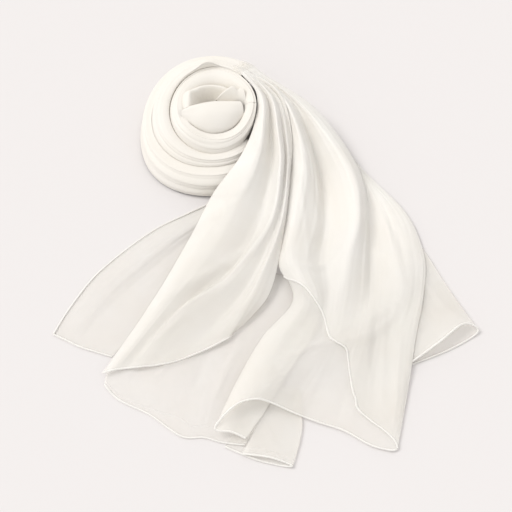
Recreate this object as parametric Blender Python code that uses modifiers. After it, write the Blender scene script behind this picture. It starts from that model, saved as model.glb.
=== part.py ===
"""Chiffon shawl laid on a surface: one end wound into a coil, the rest fanned out to its hems.

Tables are in millimetres. X runs to the right, Y away from the viewer, Z up, and the tables'
zero is the middle of the spread shawl. The finished model is in metres, on the surface.
"""
import math

import bmesh
import bpy
from mathutils import Vector
from mathutils.bvhtree import BVHTree

MM = 0.001

# Cloth
WALL = 1.3            # wall of the cloth
HEM_WALL = 2.2        # rolled hem, thicker than the cloth
HEM_WIDTH = 2.6
LAYER_GAP = 0.45      # air between two layers that lie on each other
SEAM = 0.3            # gap where one stretch of the cloth carries on in the next
SAME_POINT = 0.02     # grid points nearer than this are one
CLOTH_COLOUR = (0.86, 0.83, 0.77, 1.0)
CLOTH_ROUGHNESS = 0.62

# Middle of the whole shawl in the tables' frame, which becomes the origin
CENTRE_X = 13.5
CENTRE_Y = -4.5

# Coil
COIL_X = -63.0
COIL_Y = 206.0
HOLE_X = -66.0        # middle of the hollow in the coil's heart
HOLE_Y = 219.0
HOLE_RADIUS = 15.5
HEART_X = -61.0       # oval that holds the heart's petals
HEART_Y = 203.0
HEART_WIDE = 43.0
HEART_DEEP = 37.0
LEAVE_AZIMUTH = 48.0  # where the two outer turns carry on as the fan
COIL_STEP = 9.0       # degrees between two sections of a turn
CREST_STEPS = 3
SLOPE_STEPS = 6
GATHER_DEPTH = 1.2    # ripples that run along each turn
GATHER_WAVES = 2.5

# Radii of the seams between the turns, by azimuth: 0 is to the right, 90 is away
# azimuth, second turn starts, third turn starts, foot of the coil
SEAM_RADII = (
    (0, 63.5, 80, 108),
    (45, 62, 74, 106),
    (90, 62, 76, 103),
    (135, 60, 80, 104),
    (180, 61, 87, 104),
    (225, 62, 86, 113),
    (270, 63, 79, 109),
    (315, 63, 80, 108),
)

# Heights over a turn, by azimuth
# azimuth, height at the inner side, crest as a share of the width, crest, height at the outer side
FIRST_TURN = (
    (0, 66, 0.72, 80, 75),
    (45, 62, 0.72, 82, 79),
    (90, 56, 0.80, 80, 79),
    (135, 60, 0.60, 75, 73),
    (180, 68, 0.30, 70, 58),
    (225, 66, 0.28, 66, 46),
    (270, 60, 0.26, 59, 38),
    (315, 60, 0.50, 62, 45),
)
SECOND_TURN = (
    (LEAVE_AZIMUTH, 81, 0.45, 80, 75),
    (80, 84, 0.20, 83, 76),
    (97, 92, 0.20, 86, 75),
    (114, 83, 0.22, 82, 71),
    (135, 78, 0.25, 79, 66),
    (180, 62, 0.25, 65, 42),
    (225, 50, 0.25, 52, 33),
    (270, 43, 0.30, 44, 29),
    (322, 45, 0.40, 45, 32),
)
THIRD_TURN = (
    (LEAVE_AZIMUTH, 77, 0.35, 71, 3),
    (90, 77, 0.35, 71, 3),
    (135, 68, 0.35, 63, 3),
    (180, 45, 0.35, 43, 3),
    (225, 37, 0.28, 36, 3),
    (270, 33, 0.25, 33, 3),
    (322, 35, 0.25, 34, 3),
)

# Petals of the heart, seen from the hollow's middle
# azimuth, height at the hollow, crest as a share of the width, crest, height at the outer side
FRONT_PETAL = (
    (198, 76, 0.20, 78, 66),
    (240, 79, 0.12, 81, 60),
    (285, 80, 0.12, 81, 58),
    (338, 78, 0.30, 80, 60),
)
RIGHT_PETAL = (
    (-18, 70, 0.62, 84, 66),
    (10, 68, 0.66, 85, 66),
    (35, 66, 0.60, 80, 64),
    (58, 62, 0.50, 74, 62),
)
LEFT_PETAL = (
    (64, 70, 0.40, 73, 60),
    (105, 74, 0.35, 77, 62),
    (150, 72, 0.40, 75, 66),
    (192, 70, 0.40, 73, 66),
)
HEART_FLOOR = 40.0    # hidden cloth at the bottom of the hollow

# Hidden folds under the neck of the fan share one rounded solid
# azimuth, height inside, crest radius, crest, outer radius, height outside
NECK_INSIDE = (
    (-34, 44, 80, 42, 120, 4),
    (-14, 50, 80, 48, 134, 4),
    (5, 54, 80, 52, 134, 4),
    (25, 58, 78, 57, 112, 4),
    (44, 64, 73, 62, 92, 4),
)

# Folds of the cloth, left to right. Each row is one fold and gives its (x, y, z) at the stations,
# and its (radius, height) from the coil's middle where it leaves the coil. Height 0 rests flat.
# coil, neck, shoulder, upper, middle, lower, low, hem
LEFT_FLAP = (
    ("rolled edge", (64, 79), (1, 223, 77), (-3, 179, 62), (-23, 134, 48),
     (-61, 85, 28), (-96, 11, 18), (-150, -94, 13), (-206, -186, 9)),
    ("first pleat", (67, 80.5), (9, 217, 80), (10, 171, 71), (0, 125, 60),
     (-25, 70, 44), (-61, -4, 32), (-137, -108, 18), (-190, -181, 9)),
    ("first valley", (69.5, 80.5), (16, 222, 69), (21, 172, 52), (20, 122, 38),
     (8, 56, 26), (-29, -21, 19), (-114, -101, 14), (-174, -177, 6)),
    ("second pleat", (72, 80), (21, 220, 76), (31, 166, 66), (34, 115, 54),
     (19, 33, 38), (-38, -48, 26), (-95, -92, 20), (-153, -176, 9)),
    ("second valley", (74, 79), (27, 224, 66), (38, 172, 52), (41, 121, 41),
     (29, 36, 30), (-8, -52, 14), (-56, -108, 7), (-105, -166, 3)),
    ("narrow ridge", (75.5, 78), (31, 226, 66), (43, 174, 54), (45, 118, 45),
     (35, 31, 34), (1, -59, 22), (-20, -97, 17), (-43, -136, 8)),
    ("right edge", (77.5, 76.5), (34, 230, 58), (51, 176, 42), (49, 118, 32),
     (41, 40, 24), (22, -56, 12), (-5, -99, 9), (-33, -125, 4)),
)

# coil, neck, shoulder, upper
RIGHT_UPPER = (
    ("hidden edge", (77, 69), (30, 232, 50), (44, 172, 30), (38, 51, 17)),
    ("third pleat", (80, 75), (42, 218, 66), (67, 131, 45), (56, 46, 34)),
    ("third flank", (83, 73), (49, 219, 58), (81, 141, 29), (84, 55, 20)),
    ("deep valley", (86, 70), (59, 221, 47), (92, 140, 9), (103, 59, 5)),
    ("fourth pleat", (90, 69), (71, 216, 52), (129, 123, 37), (140, 47, 33)),
    ("fourth flank", (95, 60), (84, 225, 40), (143, 133, 22), (154, 57, 17)),
    ("dark valley", (99, 48), (93, 221, 28), (147, 140, 8), (162, 60, 3)),
    ("fifth ridge", (102, 35), (98, 216, 17), (150, 140, 6), (185, 59, 10)),
    ("edge crest", (105, 18), (102, 214, 8), (152, 141, 4), (207, 62, 8)),
    ("right edge", (107, 3), (105, 213, 2), (155, 142, 2), (214, 67, 3)),
)

# middle, lower, low, flare, hem
RIGHT_LOWER = (
    ("hidden edge", (30, -17, 11), (51, -78, 14), (8, -138, 18), (-28, -209, 20), (-54, -269, 16)),
    ("third pleat", (46, -15, 26), (67, -81, 26), (36, -140, 30), (-5, -216, 32), (-28, -243, 30)),
    ("third flank", (68, -22, 22), (84, -83, 24), (63, -143, 28), (18, -213, 31), (0, -234, 31)),
    ("deep valley", (96, -8, 6), (98, -76, 16), (82, -151, 26), (42, -210, 20), (24, -236, 20)),
    ("fourth pleat", (126, -16, 28), (119, -77, 18), (105, -146, 24), (69, -211, 9), (50, -244, 9)),
    ("fourth flank", (150, -8, 14), (145, -75, 10), (129, -137, 22), (98, -212, 6), (82, -255, 4)),
    ("dark valley", (164, 5, 3), (163, -61, 6), (151, -124, 20), (125, -216, 5), (116, -267, 3)),
    ("fifth ridge", (191, -16, 16), (196, -67, 18), (176, -117, 12), (155, -211, 4), (149, -287, 3)),
    ("edge crest", (222, -13, 12), (218, -74, 13), (201, -134, 13), (191, -208, 10), (175, -295, 4)),
    ("right edge", (235, -6, 4), (229, -73, 5), (216, -134, 5), (203, -206, 4), (185, -293, 3)),
)
# The part of the front that is tucked back under the big hem fold, at the same stations
FRONT_TUCK = (
    ("tuck end", (66, -30, 4), (88, -100, 5), (50, -172, 8), (14, -238, 9), (-13, -281, 10)),
    ("tuck middle", (50, -26, 5), (74, -92, 7), (30, -160, 10), (-8, -226, 12), (-32, -273, 13)),
)

# Side hem of the top layer, as (station, fold) over the right folds: middle is 4 and hem is 8
SIDE_HEM = (
    (4.35, 0.0), (4.72, 1.1), (5.0, 1.75), (5.42, 2.9), (5.92, 3.7),
    (6.25, 5.0), (7.03, 6.2), (7.3, 6.5), (7.65, 7.65), (8.0, 9.0),
)

# hidden, upper, middle, lower, hem
FRONT_LEFT = (
    ("rolled edge", (-98, -4, 0), (-133, -72, 0), (-172, -135, 0), (-198, -176, 3), (-203, -199, 2)),
    ("left fold", (-71, -5, 0), (-104, -79, 0), (-143, -149, 0), (-168, -201, 4), (-182, -222, 0)),
    ("small crease", (-47, -11, 0), (-70, -87, 0), (-100, -157, 5), (-128, -212, 6), (-140, -244, 0)),
    ("shallow fold", (-22, -18, 0), (-38, -95, 0), (-62, -164, 3), (-84, -222, 5), (-99, -274, 0)),
    ("hem wave", (0, -24, 0), (-8, -103, 0), (-32, -167, 3), (-57, -224, 6), (-68, -276, 0)),
    ("under fold", (22, -27, 0), (26, -106, 0), (0, -172, 2), (-26, -232, 2), (-45, -283, 0)),
    ("tuck end", (60, -34, 0), (84, -106, 0), (48, -176, 2), (12, -243, 2), (-14, -287, 2)),
)

# coil, emerging, upper, middle, lower, corner
LEFT_UNDER = (
    ("side hem", (-46, 96, 0), (-95, 70, 0), (-150, 37, 0),
     (-217, -25, 0), (-254, -80, 0), (-276, -124, 0)),
    ("soft ridge", (-41, 76, 5), (-85, 51, 7), (-134, 15, 8),
     (-199, -47, 7), (-234, -94, 4), (-256, -134, 0)),
    ("dark fold", (-36, 62, 0), (-76, 38, 0), (-120, -1, 0),
     (-182, -63, 0), (-216, -108, 0), (-236, -144, 0)),
    ("hidden", (-26, 40, 0), (-60, 14, 0), (-97, -31, 0),
     (-145, -99, 0), (-176, -135, 0), (-194, -158, 0)),
)

# hidden, upper, middle, lower, hem
RIGHT_UNDER = (
    ("lower hidden", (180, 30, 0), (190, -20, 0), (182, -80, 0), (172, -140, 0), (159, -191, 0)),
    ("lower middle", (192, 36, 0), (208, -12, 0), (216, -66, 0), (217, -120, 0), (211, -169, 0)),
    ("lower right", (200, 43, 0), (224, -2, 0), (244, -58, 0), (256, -106, 0), (262, -147, 0)),
    ("fold edge", (205, 50, 2), (235, 9, 2), (262, -45, 3), (285, -88, 3), (302, -121, 4)),
    ("upper right", (198, 42, 4), (222, -3, 5), (246, -54, 7), (266, -92, 12), (281, -116, 18)),
    ("upper middle", (190, 35, 4), (206, -12, 5), (222, -64, 6), (236, -110, 12), (247, -143, 17)),
    ("upper left", (182, 30, 4), (194, -18, 5), (196, -74, 5), (200, -126, 5), (205, -171, 5)),
)

# hidden, middle, hem
FRONT_UNDER = (
    ("lower left", (0, -212, 0), (-20, -248, 0), (-41, -289, 0)),
    ("lower middle", (28, -208, 0), (18, -252, 0), (5, -309, 0)),
    ("fold edge", (58, -206, 3), (61, -264, 3.5), (48, -318, 3.5)),
    ("upper middle", (34, -206, 6), (30, -254, 7), (21, -307, 7)),
    ("upper left", (14, -208, 6), (5, -250, 6.5), (-18, -301, 6.5)),
)


def spline(before, start, end, after, t):
    """Point at t between start and end on a smooth curve through all four."""
    near = tuple((e - b) * 0.5 for e, b in zip(end, before))
    far = tuple((a - s) * 0.5 for a, s in zip(after, start))
    t2 = t * t
    t3 = t2 * t
    return tuple(
        (2 * t3 - 3 * t2 + 1) * s + (t3 - 2 * t2 + t) * n + (3 * t2 - 2 * t3) * e + (t3 - t2) * f
        for s, n, e, f in zip(start, near, end, far)
    )


def along(points, position):
    """Point on the smooth curve through the points, with the position counted in points."""
    last = len(points) - 1
    index = min(int(position), last - 1)
    before = points[max(index - 1, 0)]
    after = points[min(index + 2, last)]
    return spline(before, points[index], points[index + 1], after, position - index)


def between(rows, key):
    """Values of a table at a key in its first column, smooth from row to row."""
    keys = [row[0] for row in rows]
    index = max(i for i, start in enumerate(keys[:-1]) if key >= start or i == 0)
    position = index + (key - keys[index]) / (keys[index + 1] - keys[index])
    return along([row[1:] for row in rows], position)


def steps(count, parts):
    """Places 0 to count, each unit in the given number of parts."""
    return [i / parts for i in range(count * parts + 1)]


def cloth_material(name):
    material = bpy.data.materials.new(name)
    material.use_nodes = True
    shader = material.node_tree.nodes["Principled BSDF"]
    shader.inputs["Base Color"].default_value = CLOTH_COLOUR
    shader.inputs["Roughness"].default_value = CLOTH_ROUGHNESS
    shader.inputs["Metallic"].default_value = 0.0
    return material


def place(point):
    """A table's point in the finished frame, in metres."""
    return Vector(((point[0] - CENTRE_X) * MM, (point[1] - CENTRE_Y) * MM, point[2] * MM))


def add_object(name, mesh, collection):
    mesh.materials.append(cloth_material(name + " chiffon"))
    piece = bpy.data.objects.new(name, mesh)
    collection.objects.link(piece)
    return piece


def section_loft(name, sections, collection):
    """Closed solid through sections of equal point count, capped at both ends."""
    model = bmesh.new()
    rings = [[model.verts.new(place(point)) for point in section] for section in sections]
    count = len(rings[0])
    for ring, following in zip(rings, rings[1:]):
        for i in range(count):
            j = (i + 1) % count
            model.faces.new((ring[i], ring[j], following[j], following[i]))
    model.faces.new(rings[0])
    model.faces.new(reversed(rings[-1]))
    bmesh.ops.recalc_face_normals(model, faces=model.faces)
    mesh = bpy.data.meshes.new(name)
    model.to_mesh(mesh)
    model.free()
    mesh.shade_smooth()
    return add_object(name, mesh, collection)


def turn_section(middle, azimuth, inner, crest, outer):
    """Section of a wound stretch, with (radius, height) at its inner side, crest and outer side."""
    inner_r, inner_z = inner
    crest_r, crest_z = crest
    outer_r, outer_z = outer
    profile = [(inner_r, 0.0), (inner_r, inner_z)]
    for i in range(1, CREST_STEPS + 1):
        angle = math.radians(90 * i / CREST_STEPS)
        radius = crest_r - (crest_r - inner_r) * math.cos(angle)
        profile.append((radius, inner_z + (crest_z - inner_z) * math.sin(angle)))
    for i in range(1, SLOPE_STEPS + 1):
        share = i / SLOPE_STEPS
        angle = math.radians(90 * share)
        ripple = GATHER_DEPTH * math.sin(2 * math.pi * GATHER_WAVES * share) * math.sin(math.pi * share)
        radius = crest_r + (outer_r - crest_r) * math.sin(angle)
        profile.append((radius, outer_z + (crest_z - outer_z) * math.cos(angle) + ripple))
    profile.append((outer_r, 0.0))
    turn = math.radians(azimuth)
    return [(middle[0] + r * math.cos(turn), middle[1] + r * math.sin(turn), z) for r, z in profile]


def azimuths(first, last, step):
    count = max(2, round(abs(last - first) / step))
    return [first + (last - first) * i / count for i in range(count + 1)]


def seam_radius(azimuth, column):
    """Radius of one seam between turns at an azimuth."""
    count = len(SEAM_RADII)
    position = (azimuth % 360) * count / 360
    index = int(position)
    near = [(SEAM_RADII[(index + i) % count][column],) for i in (-1, 0, 1, 2)]
    return spline(*near, position - index)[0]


def reach_to_heart(start, azimuth, inset):
    """Distance from a start point to the oval round the heart, along an azimuth."""
    turn = math.radians(azimuth)
    wide = HEART_WIDE + inset
    deep = HEART_DEEP + inset
    px = (start[0] - HEART_X) / wide
    py = (start[1] - HEART_Y) / deep
    dx = math.cos(turn) / wide
    dy = math.sin(turn) / deep
    square = dx * dx + dy * dy
    half = px * dx + py * dy
    return (-half + math.sqrt(half * half - square * (px * px + py * py - 1))) / square


def wound_turn(name, heights, inner_radius, outer_radius, middle, collection, first=None, last=None):
    """One stretch of the coil, from the first azimuth of its table to the last."""
    first = heights[0][0] if first is None else first
    last = heights[-1][0] if last is None else last
    sections = []
    for azimuth in azimuths(first, last, COIL_STEP):
        key = azimuth if heights[0][0] <= azimuth <= heights[-1][0] else azimuth % 360
        inner_z, share, crest_z, outer_z = between(heights, key)
        inner = inner_radius(azimuth) + SEAM / 2
        outer = outer_radius(azimuth) - SEAM / 2
        crest = inner + (outer - inner) * share
        section = turn_section(middle, azimuth, (inner, inner_z), (crest, crest_z), (outer, outer_z))
        sections.append(section)
    return section_loft(name, sections, collection)


def make_coil(collection):
    coil = (COIL_X, COIL_Y)
    hole = (HOLE_X, HOLE_Y)

    def hollow(azimuth):
        return HOLE_RADIUS

    def heart_from_hole(azimuth):
        return reach_to_heart(hole, azimuth, 0.0)

    def heart_from_coil(azimuth):
        return reach_to_heart(coil, azimuth, SEAM)

    def second_seam(azimuth):
        return seam_radius(azimuth, 1)

    def third_seam(azimuth):
        return seam_radius(azimuth, 2)

    def foot(azimuth):
        return seam_radius(azimuth, 3)

    first_turn = FIRST_TURN + ((360,) + FIRST_TURN[0][1:],)
    return [
        wound_turn("heart_front_petal", FRONT_PETAL, hollow, heart_from_hole, hole, collection),
        wound_turn("heart_right_petal", RIGHT_PETAL, hollow, heart_from_hole, hole, collection),
        wound_turn("heart_left_petal", LEFT_PETAL, hollow, heart_from_hole, hole, collection),
        wound_turn("coil_first_turn", first_turn, heart_from_coil, second_seam, coil, collection, 1, 359),
        wound_turn("coil_second_turn", SECOND_TURN, second_seam, third_seam, coil, collection),
        wound_turn("coil_third_turn", THIRD_TURN, third_seam, foot, coil, collection),
    ]


def make_heart_floor(collection):
    """Hidden cloth low in the coil's hollow."""
    turns = [math.radians(a) for a in range(0, 360, 30)]
    sections = []
    for height, share in ((0.0, 1.0), (HEART_FLOOR * 0.85, 1.0), (HEART_FLOOR, 0.6)):
        radius = (HOLE_RADIUS - SEAM) * share
        ring = [(HOLE_X + radius * math.cos(a), HOLE_Y + radius * math.sin(a), height) for a in turns]
        sections.append(ring)
    return section_loft("heart_inner_folds", sections, collection)


def make_neck_inside(collection):
    middle = (COIL_X, COIL_Y)
    sections = []
    for azimuth in azimuths(NECK_INSIDE[0][0], NECK_INSIDE[-1][0], COIL_STEP):
        inner_z, crest, crest_z, outer, outer_z = between(NECK_INSIDE, azimuth)
        inner = seam_radius(azimuth, 1) + SEAM / 2
        section = turn_section(middle, azimuth, (inner, inner_z), (crest, crest_z), (outer, outer_z))
        sections.append(section)
    return section_loft("neck_inner_folds", sections, collection)


def leave_coil(radius, height):
    """Point where a fold leaves the coil, a seam's gap past the end of the turns."""
    turn = math.radians(LEAVE_AZIMUTH)
    x = COIL_X + radius * math.cos(turn) + SEAM * math.sin(turn)
    y = COIL_Y + radius * math.sin(turn) - SEAM * math.cos(turn)
    return (x, y, height)


def fold_surface(folds):
    """Function of (fold, station) that gives the cloth's middle between its two faces."""
    rows = [[leave_coil(*point) if len(point) == 2 else point for point in fold[1:]] for fold in folds]

    def surface(fold, station):
        return along([along(row, station) for row in rows], fold)

    return surface


def sheet_grid(surface, fold_places, station_places):
    return [[surface(fold, station) for fold in fold_places] for station in station_places]


def hem_rows(grid):
    """Adds the two rows that give the last edge of a grid its rolled hem."""
    last = grid[-1]
    inward = grid[-2]
    extra = []
    for width, most in ((2 * HEM_WIDTH, 0.6), (HEM_WIDTH, 0.3)):
        row = []
        for edge, inner in zip(last, inward):
            reach = math.dist(edge, inner)
            share = min(most, width / reach) if reach > 0 else 0.0
            row.append(tuple(e + (i - e) * share for e, i in zip(edge, inner)))
        extra.append(row)
    return grid[:-1] + extra + [last]


def top_at(tops, x, y):
    """Height of the highest piece below a point, and how level it is there."""
    best = 0.0
    level = 1.0
    origin = place((x, y, 200.0))
    for tree in tops:
        hit, normal, _, _ = tree.ray_cast(origin, Vector((0, 0, -1)))
        if hit is not None and hit.z / MM > best:
            best = hit.z / MM
            level = max(abs(normal.z), 0.4)
    return best, level


def lay(grid, tops, rounds=60, samples=4):
    """Raises a grid's points as far as needed for it to lie clear on the pieces below."""
    rows = len(grid)
    columns = len(grid[0])
    height = [[point[2] for point in row] for row in grid]
    rules = []
    for r in range(rows - 1):
        for c in range(columns - 1):
            corners = ((r, c), (r, c + 1), (r + 1, c), (r + 1, c + 1))
            for a in range(samples):
                for b in range(samples):
                    s = a / (samples - 1)
                    t = b / (samples - 1)
                    weights = ((1 - s) * (1 - t), (1 - s) * t, s * (1 - t), s * t)
                    x = sum(w * grid[i][j][0] for w, (i, j) in zip(weights, corners))
                    y = sum(w * grid[i][j][1] for w, (i, j) in zip(weights, corners))
                    top, level = top_at(tops, x, y)
                    if top > 0:
                        need = top + (HEM_WALL / 2 + LAYER_GAP) / level
                        rules.append((corners, weights, need))
    for _ in range(rounds):
        moved = False
        for corners, weights, need in rules:
            now = sum(w * height[i][j] for w, (i, j) in zip(weights, corners))
            if now < need - 0.01:
                moved = True
                square = sum(w * w for w in weights)
                for w, (i, j) in zip(weights, corners):
                    height[i][j] += (need - now) * w / square
        if not moved:
            break
    laid = []
    for r, row in enumerate(grid):
        half = HEM_WALL / 2 if r >= rows - 2 else WALL / 2
        level = [max(z, half) for z in height[r]]
        for c in range(columns - 2, -1, -1):
            if math.dist(row[c][:2], row[c + 1][:2]) < SAME_POINT:
                level[c] = level[c + 1]
        laid.append([(x, y, z) for (x, y, _), z in zip(row, level)])
    return laid


def cloth_sheet(name, grid, collection):
    """Cloth wall on a grid of its middle, with a rolled hem along the last row."""
    model = bmesh.new()
    weight = model.verts.layers.deform.verify()
    rows = len(grid)
    thin = WALL / HEM_WALL
    points = []
    for r, row in enumerate(grid):
        ring = []
        for c, point in enumerate(row):
            if c == 0 or math.dist(point, row[c - 1]) > SAME_POINT:
                vertex = model.verts.new(place(point))
                vertex[weight][0] = 1.0 if r >= rows - 2 else thin
            ring.append(vertex)
        points.append(ring)
    for near, far in zip(points, points[1:]):
        for i in range(len(near) - 1):
            corners = dict.fromkeys((near[i], far[i], far[i + 1], near[i + 1]))
            if len(corners) > 2:
                model.faces.new(tuple(corners))
    mesh = bpy.data.meshes.new(name)
    model.to_mesh(mesh)
    model.free()
    mesh.shade_smooth()
    piece = add_object(name, mesh, collection)
    piece.vertex_groups.new(name="wall")
    wall = piece.modifiers.new("cloth wall", "SOLIDIFY")
    wall.thickness = HEM_WALL * MM
    wall.offset = 0.0
    wall.vertex_group = "wall"
    wall.thickness_vertex_group = 0.0
    return piece


def solid_tree(piece):
    """Search tree of a piece as built, for laying the next one on it."""
    return BVHTree.FromObject(piece, bpy.context.evaluated_depsgraph_get())


def clear_scene():
    for item in list(bpy.data.objects):
        bpy.data.objects.remove(item, do_unlink=True)


def main():
    clear_scene()
    collection = bpy.data.collections.new("chiffon_shawl")
    bpy.context.scene.collection.children.link(collection)

    wound = make_coil(collection)
    make_heart_floor(collection)
    wound.append(make_neck_inside(collection))
    tops = [solid_tree(piece) for piece in wound]

    def add_sheet(name, grid):
        laid = lay(hem_rows(grid), tops)
        piece = cloth_sheet(name, laid, collection)
        tops.append(solid_tree(piece))
        return laid

    add_sheet("left_under", sheet_grid(fold_surface(LEFT_UNDER), steps(3, 3), steps(5, 3)))
    add_sheet("right_under", sheet_grid(fold_surface(RIGHT_UNDER), steps(6, 2), steps(4, 3)))
    add_sheet("front_under", sheet_grid(fold_surface(FRONT_UNDER), steps(4, 2), steps(2, 4)))
    add_sheet("front_left", sheet_grid(fold_surface(FRONT_LEFT), steps(6, 2), steps(4, 3)))

    front = FRONT_TUCK + RIGHT_LOWER
    add_sheet("front_right", sheet_grid(fold_surface(front), steps(11, 2), steps(4, 3)))

    right = tuple(upper + lower[1:] for upper, lower in zip(RIGHT_UPPER, RIGHT_LOWER))
    surface = fold_surface(right)
    grid = []
    for station in steps(8, 3):
        start = between(SIDE_HEM, station)[0] if station > SIDE_HEM[0][0] else 0.0
        grid.append([surface(min(9.0, max(fold, start)), station) for fold in steps(9, 2)])
    add_sheet("right_top", grid)

    add_sheet("left_flap", sheet_grid(fold_surface(LEFT_FLAP), steps(6, 2), steps(7, 3)))


main()
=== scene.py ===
"""Looks of a sheer ivory chiffon shawl, with an end wound into a coil and the rest fanned out flat.

Tables are in millimetres. X runs to the right, Y away from the viewer, Z up, and the tables'
zero is the middle of the spread shawl.
"""
import math

import bpy
import numpy as np
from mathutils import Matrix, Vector
from mathutils.bvhtree import BVHTree


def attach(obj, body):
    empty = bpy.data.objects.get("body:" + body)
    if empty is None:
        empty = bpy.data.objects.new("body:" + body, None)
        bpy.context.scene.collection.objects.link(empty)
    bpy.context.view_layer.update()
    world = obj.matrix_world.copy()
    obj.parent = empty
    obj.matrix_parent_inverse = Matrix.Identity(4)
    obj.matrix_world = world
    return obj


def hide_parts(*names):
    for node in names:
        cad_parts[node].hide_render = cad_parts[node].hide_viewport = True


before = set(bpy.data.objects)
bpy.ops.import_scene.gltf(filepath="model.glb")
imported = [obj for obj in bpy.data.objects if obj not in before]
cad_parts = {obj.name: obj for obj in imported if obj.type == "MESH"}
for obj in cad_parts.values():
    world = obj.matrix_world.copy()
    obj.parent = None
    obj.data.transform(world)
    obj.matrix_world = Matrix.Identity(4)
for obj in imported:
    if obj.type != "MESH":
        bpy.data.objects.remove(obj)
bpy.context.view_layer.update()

MM = 0.001
CENTRE_X = 13.5       # middle of the whole shawl, which is the frame's origin
CENTRE_Y = -4.5

# Cloth
VEIL = 0.5            # thickness of the chiffon shell
LAYER_GAP = 0.55      # air between two layers that lie on each other
FLOOR_GAP = 0.15      # air between the lowest layer and the surface
STEEPEST = 0.45       # smallest upward share of a slope's normal that its clearance allows for
OVERHEAD = 300.0      # height from which a point looks down for the layers below it
RISE_ROUNDS = 2       # points by which a rise over a layer is widened, and then blended
BLEND_ROUNDS = 3
SAME_POINT = 0.03     # points nearer than this are made one
FULL_COVER = 0.999    # cover of cloth wound many layers thick
CREASE_POINTS = 25    # points along a crease
CREASE_FADE = 0.7
DEPTH_POINTS = 200    # points along a sheet at which the height of its pleats is worked out

# Hem
HEM_RADIUS = 1.35
HEM_STEP = 1.4        # length of one ring of a hem
HEM_SIDES = 7
HEM_TIP = 0.35        # radius of a hem's end as a share
HEM_COVER = 0.93
STITCH = 4.2          # one stitch along a hem
STITCH_DEPTH = 0.14

# Turns of the coil
TURN_STEP = 1.6       # degrees between two rows of a turn
TURN_END = 322.0      # azimuth at which the second and third turn end
WALL_POINTS = 5
CROWN_POINTS = 13
SLOPE_POINTS = 76
INNER_WALL = 26       # depth to which a turn's inner side reaches down
LIP_WIDTH = 0.018     # sharp side of a ridge, as a share of the slope
RIPPLE = 0.10         # fine folds along a turn
SWAY = 0.35           # long soft waves along a turn
CALM_CREST = 0.1      # shares of the slope at its crest and foot where the creases fade out
CALM_FOOT = 0.06

# Camera, at the photo's angle
CAMERA_DISTANCE = 2250.0
CAMERA_ELEVATION = 60.0
FRAME_WIDTH = 716.8   # what the picture's width spans at the shawl
SENSOR = 36.0

# Light, soft and from the left
SKY_STRENGTH = 0.90
SKY_COLOUR = (1.0, 0.99, 0.985, 1)
SUN_STRENGTH = 1.35
SUN_ANGLE = 28
SUN_COLOUR = (1.0, 0.985, 0.965)
SUN_DIRECTION = (0.72, -0.18, -1.0)

# Surface
FLOOR_REACH = 6.0     # half of its width in metres
FLOOR_COLOUR = (0.735, 0.711, 0.705, 1)

# Coil
COIL = (-63.0, 206.0)
HOLE = (-66.0, 219.0)
HOLE_RADIUS = 15.5
HEART = (-61.0, 203.0)
HEART_WIDE = 43.0
HEART_DEEP = 37.0
LEAVE_AZIMUTH = 48.0
OVERLAP = 16.0        # degrees that the fan reaches back over the coil, fading out
OVERLAP_DROP = 2.0    # how much lower it starts there
SEAM = 0.3

# Radii of the seams between the turns, by azimuth: 0 is to the right, 90 is away
# azimuth, second turn starts, third turn starts, foot of the coil
SEAM_RADII = (
    (0, 63.5, 80, 108),
    (45, 62, 74, 106),
    (90, 62, 76, 103),
    (135, 60, 80, 104),
    (180, 61, 87, 104),
    (225, 62, 86, 113),
    (270, 63, 79, 109),
    (315, 63, 80, 108),
)

# Heights over a turn, by azimuth
# azimuth, height at the inner side, crest as a share of the width, crest, height at the outer side
FIRST_TURN = (
    (0, 66, 0.72, 80, 75),
    (45, 62, 0.72, 82, 79),
    (90, 56, 0.80, 80, 79),
    (135, 60, 0.60, 75, 73),
    (180, 68, 0.30, 70, 58),
    (225, 66, 0.28, 66, 46),
    (270, 60, 0.26, 59, 38),
    (315, 60, 0.50, 62, 45),
    (360, 66, 0.72, 80, 75),
)
SECOND_TURN = (
    (48, 81, 0.45, 80, 75),
    (80, 84, 0.20, 83, 76),
    (97, 92, 0.20, 86, 75),
    (114, 83, 0.22, 82, 71),
    (135, 78, 0.25, 79, 66),
    (180, 62, 0.25, 65, 42),
    (225, 50, 0.25, 52, 33),
    (270, 43, 0.30, 44, 29),
    (322, 45, 0.40, 45, 32),
)
THIRD_TURN = (
    (48, 77, 0.35, 71, 3),
    (90, 77, 0.35, 71, 3),
    (135, 68, 0.35, 63, 3),
    (180, 45, 0.35, 43, 3),
    (225, 37, 0.28, 36, 3),
    (270, 33, 0.25, 33, 3),
    (322, 35, 0.25, 34, 3),
)

# Creases of a wound stretch: where each runs on the slope, from 0 at the crest to 1 at the outer
# foot, at the start, middle and end of the stretch, its width as such a share, and its height.
# A ridge drops sharply on its outer side, as the edge of a layer does, and a trough is soft.
# at the start, at the middle, at the end, width, height
FIRST_STREAKS = (
    (0.18, 0.10, 0.16, 0.12, 0.9),
    (0.40, 0.42, 0.36, 0.07, -1.0),
    (0.62, 0.56, 0.66, 0.14, 1.0),
)
SECOND_STREAKS = (
    (0.10, 0.34, 0.30, 0.12, 1.1),
    (0.30, 0.55, 0.52, 0.07, -1.1),
    (0.52, 0.80, 0.74, 0.13, 1.0),
)
THIRD_STREAKS = (
    (0.08, 0.20, 0.16, 0.10, 1.2),
    (0.24, 0.34, 0.30, 0.06, -1.3),
    (0.40, 0.52, 0.56, 0.12, 1.4),
    (0.58, 0.66, 0.72, 0.05, -1.0),
    (0.70, 0.84, 0.88, 0.10, 1.3),
)

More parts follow.
